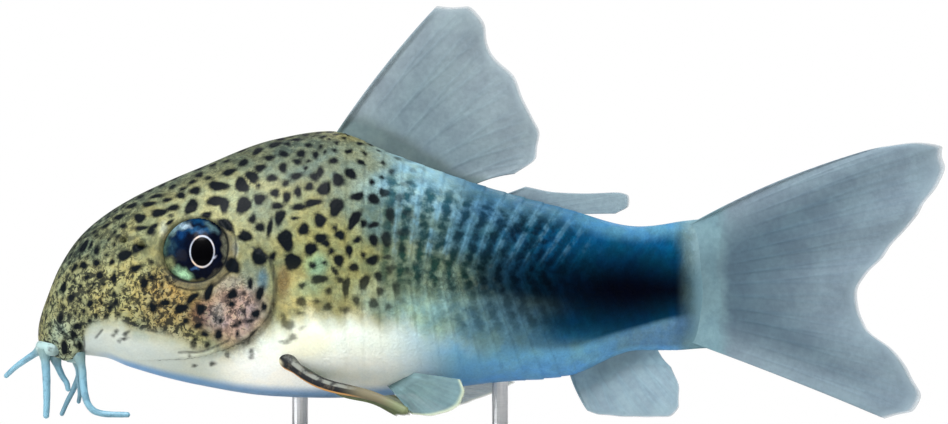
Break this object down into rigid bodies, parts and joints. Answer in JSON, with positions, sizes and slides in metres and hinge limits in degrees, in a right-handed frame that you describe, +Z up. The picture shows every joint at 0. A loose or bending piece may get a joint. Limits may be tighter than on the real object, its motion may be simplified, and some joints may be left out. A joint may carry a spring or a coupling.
{
  "type": "corydoras catfish model",
  "caption": "Life-size still model of a small armoured catfish: plated flanks, spread rayed fins, barbels round a low mouth, held above a flat base by short rods.",
  "frame": {"origin": "centre of the underside of the stand's base", "axes": "+X from the fish's head towards its tail, -Y towards its left flank, +Z up through its back"},
  "size_m": [0.0593, 0.024, 0.0295],
  "materials": {
    "skin": "olive cream with near-black spots, wet gloss",
    "flank": "grey-blue plates, spotted in front, cream below, wet gloss",
    "tail": "blue-black smudge, wet gloss",
    "fin": "clear grey-blue membrane with fine rays",
    "barbel": "pale blue, satin",
    "eye": "dark navy iris and black pupil under a clear gloss",
    "stand_base": "satin off-white",
    "stand_rod": "satin"
  },
  "bodies": {
    "root": {"head": "skin", "trunk": "flank", "tail_stem": "tail", "eye_left": "eye", "eye_right": "eye", "dorsal_fin": "fin", "adipose_fin": "fin", "anal_fin": "fin", "tail_fin": "fin", "pectoral_fin_left": "fin", "pectoral_fin_right": "fin", "pelvic_fin_left": "fin", "pelvic_fin_right": "fin", "barbel_upper_left": "barbel", "barbel_upper_right": "barbel", "barbel_lower_left": "barbel", "barbel_lower_right": "barbel", "barbel_chin_left": "barbel", "barbel_chin_right": "barbel", "stand_base": "stand_base", "stand_rod_front": "stand_rod", "stand_rod_rear": "stand_rod"}
  },
  "joints": []
}
